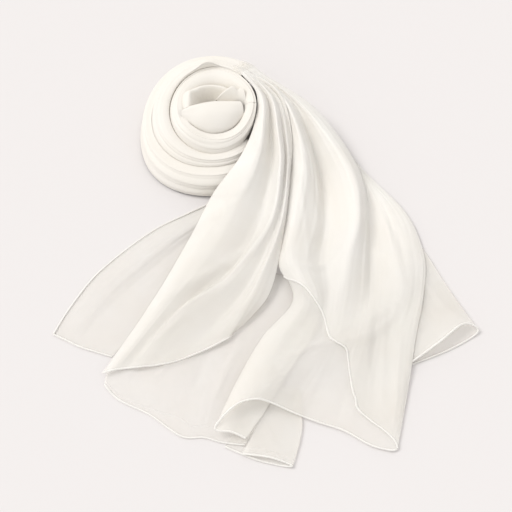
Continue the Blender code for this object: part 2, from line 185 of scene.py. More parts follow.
# Petals of the heart. Each row is one fold and gives its (x, y, z) at the stations.
# fold, inside, rim, bulge, lower, foot
FRONT_PETAL_FOLDS = (
    ("left end", (-96, 203, 56), (-103, 197, 75), (-106, 192, 73), (-104, 188, 66), (-101, 187, 52)),
    ("left rim", (-88, 209, 54), (-93, 200, 79), (-95, 190, 77), (-95, 182, 68), (-93, 180, 52)),
    ("left bulge", (-80, 212, 50), (-82, 203, 80), (-83, 189, 80), (-84, 175, 69), (-83, 173, 52)),
    ("front", (-71, 213, 46), (-71, 206, 80), (-69, 188, 82), (-67, 170, 68), (-66, 167, 52)),
    ("right bulge", (-61, 214, 48), (-57, 208, 80), (-52, 190, 82), (-48, 172, 68), (-47, 170, 52)),
    ("right rim", (-50, 215, 54), (-40, 208, 80), (-34, 192, 80), (-31, 181, 68), (-31, 178, 52)),
    ("right end", (-40, 216, 58), (-23, 209, 78), (-18, 200, 75), (-18, 193, 68), (-19, 190, 54)),
)
RIGHT_PETAL_FOLDS = (
    ("inner end", (-60, 216, 50), (-59, 214, 70), (-56, 215, 72), (-50, 211, 62), (-48, 209, 52)),
    ("inner fold", (-56, 222, 54), (-50, 221, 79), (-45, 219, 78), (-40, 212, 64), (-38, 210, 52)),
    ("knob", (-46, 226, 60), (-36, 230, 84), (-32, 225, 83), (-29, 214, 68), (-28, 210, 54)),
    ("notch", (-36, 226, 64), (-27, 228, 80), (-24, 222, 79), (-23, 212, 68), (-22, 207, 54)),
    ("outer fold", (-34, 222, 64), (-21, 228, 84), (-17, 221, 83), (-17, 209, 70), (-18, 202, 54)),
    ("outer end", (-26, 222, 60), (-17, 220, 78), (-14, 214, 76), (-15, 203, 68), (-19, 196, 56)),
)
LEFT_PETAL_FOLDS = (
    ("front end", (-84, 210, 52), (-93, 203, 72), (-99, 201, 74), (-103, 200, 68), (-102, 201, 54)),
    ("front fold", (-82, 214, 52), (-92, 211, 74), (-99, 212, 77), (-105, 212, 70), (-104, 212, 54)),
    ("rim", (-80, 219, 52), (-92, 223, 77), (-98, 226, 78), (-104, 226, 70), (-102, 226, 54)),
    ("back fold", (-76, 223, 50), (-84, 229, 73), (-88, 233, 75), (-93, 236, 68), (-94, 235, 54)),
    ("tongue", (-70, 226, 50), (-76, 235, 72), (-78, 239, 74), (-82, 240, 66), (-84, 240, 54)),
    ("back", (-62, 227, 50), (-63, 236, 73), (-62, 240, 75), (-63, 241, 66), (-64, 242, 54)),
    ("back right", (-54, 225, 52), (-49, 233, 72), (-45, 237, 74), (-44, 239, 66), (-45, 240, 54)),
    ("right end", (-47, 222, 56), (-40, 228, 70), (-34, 231, 71), (-32, 232, 64), (-33, 233, 54)),
)
# Cloth in the hollow, from left to right. The stations run from the back to the front.
# fold, back, behind the middle, before the middle, front
HOLLOW_FOLDS = (
    ("left", (-92, 226, 60), (-86, 218, 53), (-84, 208, 50), (-88, 200, 56)),
    ("left dip", (-82, 232, 58), (-78, 220, 44), (-76, 210, 40), (-80, 202, 46)),
    ("middle ridge", (-68, 236, 60), (-67, 222, 47), (-68, 212, 44), (-70, 204, 48)),
    ("right dip", (-54, 234, 58), (-58, 221, 44), (-59, 213, 42), (-60, 206, 48)),
    ("right", (-40, 228, 62), (-46, 218, 54), (-48, 212, 52), (-48, 206, 56)),
)

# Folds of the cloth, left to right. Each row is one fold and gives its (x, y, z) at the stations,
# and its (radius, height) from the coil's middle where it leaves the coil. Height 0 rests flat.
# fold, coil, neck, shoulder, upper, middle, lower, low, hem
LEFT_FLAP = (
    ("rolled edge", (64, 79), (1, 223, 77), (-3, 179, 62), (-23, 134, 48),
     (-61, 85, 28), (-96, 11, 18), (-150, -94, 13), (-206, -186, 9)),
    ("first pleat", (67, 80.5), (9, 217, 80), (10, 171, 71), (0, 125, 60),
     (-25, 70, 44), (-61, -4, 32), (-137, -108, 18), (-190, -181, 9)),
    ("first valley", (69.5, 80.5), (16, 222, 69), (21, 172, 52), (20, 122, 38),
     (8, 56, 26), (-29, -21, 19), (-114, -101, 14), (-174, -177, 6)),
    ("second pleat", (72, 80), (21, 220, 76), (31, 166, 66), (34, 115, 54),
     (19, 33, 38), (-38, -48, 26), (-95, -92, 20), (-153, -176, 9)),
    ("second valley", (74, 79), (27, 224, 66), (38, 172, 52), (41, 121, 41),
     (29, 36, 30), (-8, -52, 14), (-56, -108, 7), (-105, -166, 3)),
    ("narrow ridge", (75.5, 78), (31, 226, 66), (43, 174, 54), (45, 118, 45),
     (35, 31, 34), (1, -59, 22), (-20, -97, 17), (-43, -136, 8)),
    ("right edge", (77.5, 76.5), (34, 230, 58), (51, 176, 42), (49, 118, 32),
     (41, 40, 24), (22, -56, 12), (-5, -99, 9), (-33, -125, 4)),
)

# fold, coil, neck, shoulder, upper
RIGHT_UPPER = (
    ("hidden edge", (77, 69), (30, 232, 50), (44, 172, 30), (38, 51, 17)),
    ("third pleat", (80, 75), (42, 218, 66), (67, 131, 45), (56, 46, 34)),
    ("third flank", (83, 73), (49, 219, 58), (81, 141, 29), (84, 55, 20)),
    ("deep valley", (86, 70), (59, 221, 47), (92, 140, 9), (103, 59, 5)),
    ("fourth pleat", (90, 69), (71, 216, 52), (129, 123, 37), (140, 47, 33)),
    ("fourth flank", (95, 60), (84, 225, 40), (143, 133, 22), (154, 57, 17)),
    ("dark valley", (99, 48), (93, 221, 28), (147, 140, 8), (162, 60, 3)),
    ("fifth ridge", (102, 35), (98, 216, 17), (150, 140, 6), (185, 59, 10)),
    ("edge crest", (105, 18), (102, 214, 8), (152, 141, 4), (207, 62, 8)),
    ("right edge", (107, 3), (105, 213, 2), (155, 142, 2), (214, 67, 3)),
)

# fold, middle, lower, low, flare, hem
RIGHT_LOWER = (
    ("hidden edge", (30, -17, 11), (51, -78, 14), (8, -138, 18), (-28, -209, 20), (-54, -269, 16)),
    ("third pleat", (46, -15, 26), (67, -81, 26), (36, -140, 30), (-5, -216, 32), (-28, -243, 30)),
    ("third flank", (68, -22, 22), (84, -83, 24), (63, -143, 28), (18, -213, 31), (0, -234, 31)),
    ("deep valley", (96, -8, 6), (98, -76, 16), (82, -151, 26), (42, -210, 20), (24, -236, 20)),
    ("fourth pleat", (126, -16, 28), (119, -77, 18), (105, -146, 24), (69, -211, 9), (50, -244, 9)),
    ("fourth flank", (150, -8, 14), (145, -75, 10), (129, -137, 22), (98, -212, 6), (82, -255, 4)),
    ("dark valley", (164, 5, 3), (163, -61, 6), (151, -124, 20), (125, -216, 5), (116, -267, 3)),
    ("fifth ridge", (191, -16, 16), (196, -67, 18), (176, -117, 12), (155, -211, 4), (149, -287, 3)),
    ("edge crest", (222, -13, 12), (218, -74, 13), (201, -134, 13), (191, -208, 10), (175, -295, 4)),
    ("right edge", (235, -6, 4), (229, -73, 5), (216, -134, 5), (203, -206, 4), (185, -293, 3)),
)
FRONT_TUCK = (
    ("tuck end", (66, -30, 4), (88, -100, 5), (50, -172, 8), (14, -238, 9), (-13, -281, 10)),
    ("tuck middle", (50, -26, 5), (74, -92, 7), (30, -160, 10), (-8, -226, 12), (-32, -273, 13)),
)

# Side hem of the top layer, as (station, fold) over the right folds: middle is 4 and hem is 8
SIDE_HEM = (
    (4.35, 0.0), (4.72, 1.1), (5.0, 1.75), (5.42, 2.9), (5.92, 3.7),
    (6.25, 5.0), (7.03, 6.2), (7.3, 6.5), (7.65, 7.65), (8.0, 9.0),
)

# fold, hidden, upper, middle, lower, hem
FRONT_LEFT = (
    ("rolled edge", (-98, -4, 0), (-133, -72, 0), (-172, -135, 0), (-198, -176, 3), (-203, -199, 2)),
    ("left fold", (-71, -5, 0), (-104, -79, 0), (-143, -149, 0), (-168, -201, 4), (-182, -222, 0)),
    ("small crease", (-47, -11, 0), (-70, -87, 0), (-100, -157, 5), (-128, -212, 6), (-140, -244, 0)),
    ("shallow fold", (-22, -18, 0), (-38, -95, 0), (-62, -164, 3), (-84, -222, 5), (-99, -274, 0)),
    ("hem wave", (0, -24, 0), (-8, -103, 0), (-32, -167, 3), (-57, -224, 6), (-68, -276, 0)),
    ("under fold", (22, -27, 0), (26, -106, 0), (0, -172, 2), (-26, -232, 2), (-45, -283, 0)),
    ("tuck end", (60, -34, 0), (84, -106, 0), (48, -176, 2), (12, -243, 2), (-14, -287, 2)),
)

# fold, coil, emerging, upper, middle, lower, corner
LEFT_UNDER = (
    ("side hem", (-46, 96, 0), (-95, 70, 0), (-150, 37, 0),
     (-217, -25, 0), (-254, -80, 0), (-276, -124, 0)),
    ("soft ridge", (-41, 76, 5), (-85, 51, 7), (-134, 15, 8),
     (-199, -47, 7), (-234, -94, 4), (-256, -134, 0)),
    ("dark fold", (-36, 62, 0), (-76, 38, 0), (-120, -1, 0),
     (-182, -63, 0), (-216, -108, 0), (-236, -144, 0)),
    ("hidden", (-26, 40, 0), (-60, 14, 0), (-97, -31, 0),
     (-145, -99, 0), (-176, -135, 0), (-194, -158, 0)),
)

# fold, hidden, upper, middle, lower, hem
RIGHT_UNDER = (
    ("lower hidden", (180, 30, 0), (190, -20, 0), (182, -80, 0), (172, -140, 0), (159, -191, 0)),
    ("lower middle", (192, 36, 0), (208, -12, 0), (216, -66, 0), (217, -120, 0), (211, -169, 0)),
    ("lower right", (200, 43, 0), (224, -2, 0), (244, -58, 0), (256, -106, 0), (262, -147, 0)),
    ("fold edge", (205, 50, 2), (235, 9, 2), (262, -45, 3), (285, -88, 3), (302, -121, 4)),
    ("upper right", (198, 42, 4), (222, -3, 5), (246, -54, 7), (266, -92, 12), (281, -116, 18)),
    ("upper middle", (190, 35, 4), (206, -12, 5), (222, -64, 6), (236, -110, 12), (247, -143, 17)),
    ("upper left", (182, 30, 4), (194, -18, 5), (196, -74, 5), (200, -126, 5), (205, -171, 5)),
)

# fold, hidden, middle, hem
FRONT_UNDER = (
    ("lower left", (0, -212, 0), (-20, -248, 0), (-41, -289, 0)),
    ("lower middle", (28, -208, 0), (18, -252, 0), (5, -309, 0)),
    ("fold edge", (58, -206, 3), (61, -264, 3.5), (48, -318, 3.5)),
    ("upper middle", (34, -206, 6), (30, -254, 7), (21, -307, 7)),
    ("upper left", (14, -208, 6), (5, -250, 6.5), (-18, -301, 6.5)),
)

# Creases in each sheet
# crease, the points (x, y) that it runs through, half width, height
FLAP_CREASES = (
    ("diagonal ridge", ((0, 10), (-37, -22), (-91, -58), (-150, -96)), 7, 3.5),
    ("upper streak", ((-20, 84), (-62, 28), (-104, -36)), 6, 1.6),
    ("trough beside the ridge", ((4, -8), (-34, -42), (-92, -76)), 8, -2.6),
    ("thin ridge", ((30, 60), (14, -10), (-22, -78), (-52, -116)), 3.5, 2.2),
    ("low crease", ((-88, -96), (-118, -124), (-152, -150)), 4, 1.4),
    ("soft wave", ((-40, 60), (-84, -10), (-150, -72)), 9, -1.8),
    ("crease from the neck", ((12, 190), (4, 120), (-34, 50)), 3.2, 1.3),
    ("second from the neck", ((24, 196), (22, 120), (0, 40)), 2.8, -1.3),
)
RIGHT_TOP_CREASES = (
    ("streak on the tube", ((40, 190), (60, 110), (70, 30), (76, -40)), 3.2, 1.2),
    ("second streak", ((52, 186), (84, 96), (96, 20)), 3.0, -1.3),
    ("shoulder streak", ((78, 206), (120, 120), (128, 30)), 3.4, 1.2),
    ("right streak", ((110, 186), (160, 110), (188, 20), (196, -60)), 4.2, 1.4),
    ("edge trough", ((150, 130), (196, 30), (210, -60)), 5, -1.6),
    ("ridge to the hem", ((192, -84), (181, -110), (154, -134), (110, -150)), 6, 3.0),
    ("lip of the valley", ((36, -32), (74, -30), (102, -16), (120, 5)), 4, 2.4),
    ("inner trough", ((168, -86), (160, -130), (156, -186)), 5, -2.0),
    ("long low ridge", ((178, -90), (172, -150), (166, -230)), 4.5, 1.8),
    ("corner crease", ((196, -130), (188, -200), (180, -268)), 3.5, 1.3),
)
FRONT_RIGHT_CREASES = (
    ("crest of the tube", ((58, -66), (14, -106), (-14, -152), (-34, -192)), 7, 2.4),
    ("trough in the tube", ((84, -94), (52, -138), (20, -190)), 9, -2.2),
    ("ridge in front", ((152, -138), (88, -150), (60, -164), (22, -180)), 4, 2.6),
    ("wave at the hem", ((96, -172), (70, -214), (56, -240)), 8, 1.6),
    ("second wave at the hem", ((132, -190), (116, -226), (104, -256)), 8, -1.5),
)
FRONT_LEFT_CREASES = (
    ("small crease", ((-112, -155), (-124, -178), (-138, -200)), 4, 1.8),
    ("soft trough", ((-60, -130), (-74, -176), (-84, -214)), 8, -1.6),
    ("fold to the hem", ((-14, -130), (-40, -180), (-56, -226)), 6, 1.8),
    ("low wave", ((-150, -150), (-166, -176), (-176, -196)), 6, 1.3),
)
LEFT_UNDER_CREASES = (
    ("ridge beside the hem", ((-110, 62), (-176, 8), (-236, -60)), 5, 1.4),
    ("long trough", ((-80, 60), (-150, 2), (-214, -66), (-240, -100)), 7, -1.5),
    ("crease near the flap", ((-90, 18), (-140, -40), (-190, -98)), 6, 1.6),
)
RIGHT_UNDER_CREASES = (
    ("fold beside the edge", ((216, -10), (244, -62), (266, -98)), 4, 1.2),
    ("crease near the hem", ((212, -60), (226, -96), (244, -126)), 5, 1.0),
)
FRONT_UNDER_CREASES = (
    ("diagonal", ((10, -250), (20, -272), (34, -292)), 3, 0.9),
)

# Fine pleats: three waves on each other
# share, pleats to a fold, sway, rate of the sway, seed in the sway, seed in the wave, phase
PLEAT_WAVES = (
    (0.45, 2.3, 0.30, 0.9, 1, 1, 0),
    (0.35, 3.7, 0.22, 1.3, 2, 1.7, 0),
    (0.20, 6.1, 0.25, 0.7, -1, 0, 0.6),
)

# Height of the fine pleats at each station of a sheet
LEFT_UNDER_PLEATS = (0.8, 0.6, 0.4, 0.3, 0.2, 0.1)
FRONT_LEFT_PLEATS = (0.2, 0.25, 0.3, 0.3, 0.1)
FRONT_RIGHT_PLEATS = (0.5, 0.4, 0.3, 0.25, 0.1)
RIGHT_TOP_PLEATS = (0.1, 0.4, 0.9, 0.9, 0.6, 0.35, 0.3, 0.25, 0.2, 0.1)
LEFT_FLAP_PLEATS = (0.1, 0.3, 0.8, 0.8, 0.6, 0.4, 0.3, 0.2, 0.1)

# Cover of each sheet from its start to its hem: 0 is clear and 1 hides what is below
LEFT_UNDER_COVER = (0.8, 0.6, 0.55, 0.5, 0.5)
RIGHT_UNDER_COVER = (0.6, 0.55, 0.5, 0.5, 0.5)
FRONT_UNDER_COVER = (0.55, 0.5, 0.45)
FRONT_LEFT_COVER = (0.5, 0.5, 0.5, 0.48, 0.45)
FRONT_RIGHT_COVER = (0.7, 0.66, 0.6, 0.56, 0.5)
RIGHT_TOP_COVER = (0.0, 0.97, 0.97, 0.96, 0.94, 0.88, 0.74, 0.62, 0.56, 0.5)
LEFT_FLAP_COVER = (0.0, 0.97, 0.97, 0.96, 0.93, 0.86, 0.76, 0.66, 0.6)


def place(point):
    """A table's point in the finished frame, in metres."""
    return ((point[0] - CENTRE_X) * MM, (point[1] - CENTRE_Y) * MM, point[2] * MM)


def curve_weights(count, positions):
    """For each position along a smooth curve through count points, the weight of each point."""
    table = np.zeros((len(positions), count))
    for row, position in zip(table, positions):
        i = min(int(position), count - 2)
        t = position - i
        leave = (t ** 3 - 2 * t ** 2 + t) / 2
        arrive = (t ** 3 - t ** 2) / 2
        row[i] += 2 * t ** 3 - 3 * t ** 2 + 1 - arrive
        row[i + 1] += 3 * t ** 2 - 2 * t ** 3 + leave
        row[max(i - 1, 0)] -= leave
        row[min(i + 2, count - 1)] += arrive
    return table


def steps(count, parts):
    """Positions 0 to count, each unit in the given number of parts."""
    return np.arange(count * parts + 1) / parts


def table_at(rows, key):
    """Values of a table at a key in its first column, smooth from row to row."""
    keys = [row[0] for row in rows]
    index = max(i for i, start in enumerate(keys[:-1]) if key >= start or i == 0)
    position = index + (key - keys[index]) / (keys[index + 1] - keys[index])
    values = np.array([row[1:] for row in rows], float)
    return (curve_weights(len(rows), [position]) @ values)[0]


def seam_radius(azimuth, column):
    """Radius of one seam between turns at an azimuth."""
    ring = SEAM_RADII[-1:] + SEAM_RADII + SEAM_RADII[:2]
    position = 1 + (azimuth % 360) / 45
    radii = np.array([row[column] for row in ring], float)
    return float((curve_weights(len(ring), [position]) @ radii)[0])


def reach_to_heart(start, azimuth):
    """Distance from a start point to the oval round the heart, along an azimuth."""
    turn = math.radians(azimuth)
    px = (start[0] - HEART[0]) / HEART_WIDE
    py = (start[1] - HEART[1]) / HEART_DEEP
    dx = math.cos(turn) / HEART_WIDE
    dy = math.sin(turn) / HEART_DEEP
    square = dx * dx + dy * dy
    half = px * dx + py * dy
    return (-half + math.sqrt(half * half - square * (px * px + py * py - 1))) / square


def leave_coil(radius, height, back=0.0):
    """Point where a fold leaves the coil, or a number of degrees back over the turn."""
    turn = math.radians(LEAVE_AZIMUTH + back)
    return (COIL[0] + radius * math.cos(turn), COIL[1] + radius * math.sin(turn), height)


def fold_points(folds):
    """Array of a table's points, fold by station. Folds from the coil start a little way back
    over the turn, at a station of their own."""
    rows = []
    for fold in folds:
        row = [leave_coil(*p) if len(p) == 2 else p for p in fold[1:]]
        if len(fold[1]) == 2:
            radius, height = fold[1]
            row.insert(0, leave_coil(radius, height - OVERLAP_DROP, OVERLAP))
        rows.append(row)
    return np.array(rows, float)


def smooth_grid(folds, across, down):
    """Cloth through the folds: across and down give the positions between folds and stations."""
    points = fold_points(folds)
    over_folds = curve_weights(points.shape[0], across)
    over_stations = curve_weights(points.shape[1], down)
    return np.einsum("sj,fi,ijk->sfk", over_stations, over_folds, points)


def grid_normals(grid):
    """Upward normal at each point of a grid."""
    along = np.gradient(grid, axis=0)
    across = np.gradient(grid, axis=1)
    normal = np.cross(across, along)
    length = np.linalg.norm(normal, axis=-1, keepdims=True)
    normal = normal / np.maximum(length, 1e-9)
    return np.where(normal[..., 2:] < 0, -normal, normal)


def press_creases(grid, creases):
    """Raises a ridge, or presses a trough, along each crease, and fades it out at its ends."""
    for _, path, width, height in creases:
        places = np.linspace(0, len(path) - 1, CREASE_POINTS)
        line = curve_weights(len(path), places) @ np.array(path, float)
        start = line[:-1]
        run = line[1:] - start
        away = grid[:, :, None, :2] - start
        share = np.clip((away * run).sum(-1) / (run * run).sum(-1), 0, 1)
        gap = np.linalg.norm(away - share[..., None] * run, axis=-1)
        nearest = gap.argmin(-1)[..., None]
        gap = np.take_along_axis(gap, nearest, -1)[..., 0]
        share = np.take_along_axis(share, nearest, -1)[..., 0]
        along = (nearest[..., 0] + share) / len(run)
        fade = np.sin(np.pi * np.clip(along, 0, 1)) ** CREASE_FADE
        grid[..., 2] += height * fade * np.exp(-((gap / width) ** 2))


def gather(grid, across, down, depth, seed):
    """Fine uneven pleats along the folds. depth gives their height at each station."""
    stations = np.linspace(0, len(depth) - 1, DEPTH_POINTS)
    heights = curve_weights(len(depth), stations) @ np.array(depth, float)
    height = np.interp(down, stations, heights)[:, None]
    f = np.asarray(across)[None, :]
    s = np.asarray(down)[:, None]
    wave = 0.0
    for share, pleats, sway, rate, drift, turn, phase in PLEAT_WAVES:
        bend = sway * np.sin(rate * s + drift * seed)
        wave = wave + share * np.sin(2 * math.pi * (pleats * f + bend) + turn * seed + phase)
    swell = 0.7 + 0.3 * np.sin(1.9 * s + 3.1 * f + seed)
    grid += grid_normals(grid) * (wave * swell * height)[..., None]


def spread(values, rounds, how):
    """Takes each value's neighbours in, with how as the maximum or the mean."""
    for _ in range(rounds):
        wide = np.pad(values, 1, mode="edge")
        rows, columns = values.shape
        near = [wide[i:i + rows, j:j + columns] for i in range(3) for j in range(3)]
        values = how(np.array(near), axis=0)
    return values


class Layers:
    """All the pieces laid so far, for laying the next one on them."""

    def __init__(self):
        self.points = []
        self.faces = []

    def add(self, points, faces):
        start = len(self.points)
        self.points.extend(Vector(p) for p in points)
        self.faces.extend(tuple(start + i for i in face) for face in faces)

    def tree(self):
        return BVHTree.FromPolygons(self.points, self.faces)


def rest_on(grid, layers):
    """Raises a grid just enough to lie clear on the layers below, with soft edges to each rise."""
    lift = np.zeros(grid.shape[:2])
    if layers.faces:
        tree = layers.tree()
        down = Vector((0, 0, -1))
        for index in np.ndindex(lift.shape):
            x, y, z = grid[index]
            hit, normal, _, _ = tree.ray_cast(Vector((x, y, OVERHEAD)), down)
            if hit is not None:
                clear = (VEIL / 2 + LAYER_GAP) / max(abs(normal.z), STEEPEST)
                lift[index] = max(0.0, hit.z + clear - z)
    soft = spread(spread(lift, RISE_ROUNDS, np.max), BLEND_ROUNDS, np.mean)
    grid[..., 2] += np.maximum(soft, lift)
    grid[..., 2] = np.maximum(grid[..., 2], VEIL / 2 + FLOOR_GAP)


def arc_lengths(grid, axis):
    """Distance along the rows or columns of a grid, from its first point."""
    step = np.linalg.norm(np.diff(grid, axis=axis), axis=-1)
    start = np.zeros_like(np.take(step, [0], axis=axis))
    return np.cumsum(np.concatenate([start, step], axis=axis), axis=axis)


def cloth_object(name, points, faces, uv, cover, material, thick=VEIL):
    """A piece with a map of the cloth in metres and its cover at each point."""
    mesh = bpy.data.meshes.new(name)
    mesh.from_pydata([place(p) for p in points], [], faces)
    layer = mesh.uv_layers.new(name="cloth")
    corners = np.array([loop.vertex_index for loop in mesh.loops])
    layer.data.foreach_set("uv", (np.asarray(uv)[corners] * MM).ravel())
    film = mesh.attributes.new("cover", "FLOAT", "POINT")
    film.data.foreach_set("value", 1 - np.sqrt(1 - np.clip(cover, 0, FULL_COVER)))
    mesh.materials.append(material)
    mesh.shade_smooth()
    mesh.update()
    piece = bpy.data.objects.new(name, mesh)
    bpy.context.scene.collection.objects.link(piece)
    if thick:
        wall = piece.modifiers.new("cloth wall", "SOLIDIFY")
        wall.thickness = thick * MM
        wall.offset = 0.0
    return piece


def same_points_joined(grid):
    """Points, faces and each point's row and column, with points on each other made one."""
    rows, columns = grid.shape[:2]
    keep = np.zeros((rows, columns), int)
    points = []
    sources = []
    for r in range(rows):
        for c in range(columns):
            if c and np.linalg.norm(grid[r, c] - grid[r, c - 1]) < SAME_POINT:
                keep[r, c] = keep[r, c - 1]
                continue
            keep[r, c] = len(points)
            points.append(tuple(grid[r, c]))
            sources.append((r, c))
    faces = []
    for r in range(rows - 1):
        for c in range(columns - 1):
            ring = (keep[r, c], keep[r + 1, c], keep[r + 1, c + 1], keep[r, c + 1])
            corners = tuple(dict.fromkeys(int(i) for i in ring))
            if len(corners) > 2:
                faces.append(corners)
    return points, faces, sources


def sheet_piece(name, node, grid, cover, layers, hems=()):
    """One stretch of laid cloth, in place of its solid. cover has a value for each station."""
    rest_on(grid, layers)
    points, faces, sources = same_points_joined(grid)
    across = arc_lengths(grid, 1)
    down = arc_lengths(grid, 0)
    uv = [(across[s], down[s]) for s in sources]
    rows = len(grid)
    film = np.interp(np.linspace(0, 1, rows), np.linspace(0, 1, len(cover)), cover)
    piece = cloth_object(name, points, faces, uv, [film[r] for r, _ in sources], CHIFFON)
    layers.add(points, faces)
    made = [hem_tube(name + "_hem" + suffix, path, layers) for suffix, path in hems]
    finish_piece(piece, node, made)
    return piece


def finish_piece(piece, node, hems):
    """Hangs a sheet and its hems on the root body and hides the solid that they take the place of."""
    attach(piece, "root")
    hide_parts(node)
    for hem in hems:
        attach(hem, "root")


def even_path(path, step):
    """Points at even distances along a path."""
    path = np.asarray(path, float)
    gaps = np.linalg.norm(np.diff(path, axis=0), axis=-1)
    path = path[np.concatenate([[True], gaps > 1e-6])]
    reach = np.concatenate([[0], np.cumsum(np.linalg.norm(np.diff(path, axis=0), axis=-1))])
    count = max(3, int(reach[-1] / step))
    marks = np.linspace(0, reach[-1], count + 1)
    return np.stack([np.interp(marks, reach, path[:, k]) for k in range(3)], axis=-1), marks


def hem_tube(name, path, layers):
    """Rolled hem along a cloth's edge, drawn in a little at each stitch."""
    line, marks = even_path(path, HEM_STEP)
    line[:, 2] = np.maximum(line[:, 2], HEM_RADIUS + FLOOR_GAP)
    for _ in range(2):
        line[1:-1] = (line[:-2] + 2 * line[1:-1] + line[2:]) / 4
    ahead = np.gradient(line, axis=0)
    ahead /= np.linalg.norm(ahead, axis=-1, keepdims=True)
    side = np.cross(ahead, (0, 0, 1))
    side /= np.maximum(np.linalg.norm(side, axis=-1, keepdims=True), 1e-6)
    above = np.cross(side, ahead)
    draw = 1 - STITCH_DEPTH * (0.5 + 0.5 * np.cos(2 * math.pi * marks / STITCH)) ** 2
    uneven = 1 + 0.08 * np.sin(marks / 17.0) + 0.05 * np.sin(marks / 6.3 + 1)
    radius = HEM_RADIUS * draw * uneven
    radius[[0, -1]] *= HEM_TIP
    turns = 2 * math.pi * np.arange(HEM_SIDES) / HEM_SIDES
    out = side[:, None] * np.cos(turns)[None, :, None]
    ring = out + above[:, None] * np.sin(turns)[None, :, None]
    tube = line[:, None] + ring * radius[:, None, None]
    points = [tuple(p) for p in tube.reshape(-1, 3)]
    faces = []
    for r in range(len(line) - 1):
        for c in range(HEM_SIDES):
            i = r * HEM_SIDES + c
            j = r * HEM_SIDES + (c + 1) % HEM_SIDES
            faces.append((i, j, j + HEM_SIDES, i + HEM_SIDES))
    faces.append(tuple(range(HEM_SIDES))[::-1])
    faces.append(tuple(len(points) - HEM_SIDES + c for c in range(HEM_SIDES)))
    uv = [(c * HEM_RADIUS, marks[r]) for r in range(len(line)) for c in range(HEM_SIDES)]
    hem = cloth_object(name, points, faces, uv, [HEM_COVER] * len(points), HEM, thick=0)
    layers.add(points, faces)
    return hem


def wound_grid(heights, inner_radius, outer_radius, first, last, streaks, seed):
    """Grid over one turn of the coil, from its inner side over its crest to its outer foot."""
    azimuths = np.linspace(first, last, round((last - first) / TURN_STEP) + 1)
    crown = np.linspace(0, math.pi / 2, CROWN_POINTS)
    slope = np.linspace(0, math.pi / 2, SLOPE_POINTS)
    grid = []
    for azimuth in azimuths:
        inner_z, share, crest_z, outer_z = table_at(heights, azimuth)
        inner = inner_radius(azimuth) + SEAM
        outer = outer_radius(azimuth) - SEAM
        crest = inner + (outer - inner) * share
        wall = np.linspace(max(inner_z - INNER_WALL, 1), inner_z, WALL_POINTS + 1)[:-1]
        radius = np.concatenate([np.full(WALL_POINTS, inner),
                                 crest - (crest - inner) * np.cos(crown),
                                 crest + (outer - crest) * np.sin(slope[1:])])
        z = np.concatenate([wall, inner_z + (crest_z - inner_z) * np.sin(crown),
                            outer_z + (crest_z - outer_z) * np.cos(slope[1:])])
        turn = math.radians(azimuth)
        grid.append(np.stack([COIL[0] + radius * math.cos(turn),
                              COIL[1] + radius * math.sin(turn), z], axis=-1))
    grid = np.array(grid)
    above_slope = np.full(WALL_POINTS + CROWN_POINTS - 1, -1.0)
    share = np.concatenate([above_slope, np.linspace(0, 1, SLOPE_POINTS)])[None, :]
    way = np.linspace(0, 1, len(azimuths))[:, None]
    bump = np.zeros(grid.shape[:2])
    for start, middle, end, width, height in streaks:
        line = curve_weights(3, 2 * way[:, 0]) @ np.array([start, middle, end])
        offset = share - line[:, None] - 0.01 * np.sin(11 * way + 5 * start + seed)
        swell = 0.8 + 0.2 * np.sin(7 * way + 9 * start + seed)
        drop = LIP_WIDTH if height > 0 else width
        side = np.where(offset < 0, width, drop)
        bump += height * swell * np.exp(-((offset / side) ** 2))
    bump += RIPPLE * np.sin(2 * math.pi * (6 * share + 0.8 * np.sin(3 * way + seed)))
    bump += SWAY * np.sin(9 * way + 3 * share + seed) * np.sin(4 * share + seed)
    calm = np.clip(share / CALM_CREST, 0, 1) * np.clip((1 - share) / CALM_FOOT, 0, 1)
    grid += grid_normals(grid) * (bump * calm)[..., None]
    return grid


def wound_piece(name, node, grid, layers):
    """One stretch of the coil: cloth wound many layers thick, so it hides what is inside it. Its
    material is a darker, warmer copy of the chiffon, as painted shade.
    """
    points, faces, sources = same_points_joined(grid)
    across = arc_lengths(grid, 1)
    down = arc_lengths(grid, 0)
    uv = [(across[s], down[s]) for s in sources]
    piece = cloth_object(name, points, faces, uv, [FULL_COVER] * len(points), SHADED_WOUND)
    layers.add(points, faces)
    finish_piece(piece, node, [])


def principled(name):
    """A new material, with its nodes and links."""
    material = bpy.data.materials.new(name)
    material.use_nodes = True
    return material, material.node_tree.nodes, material.node_tree.links


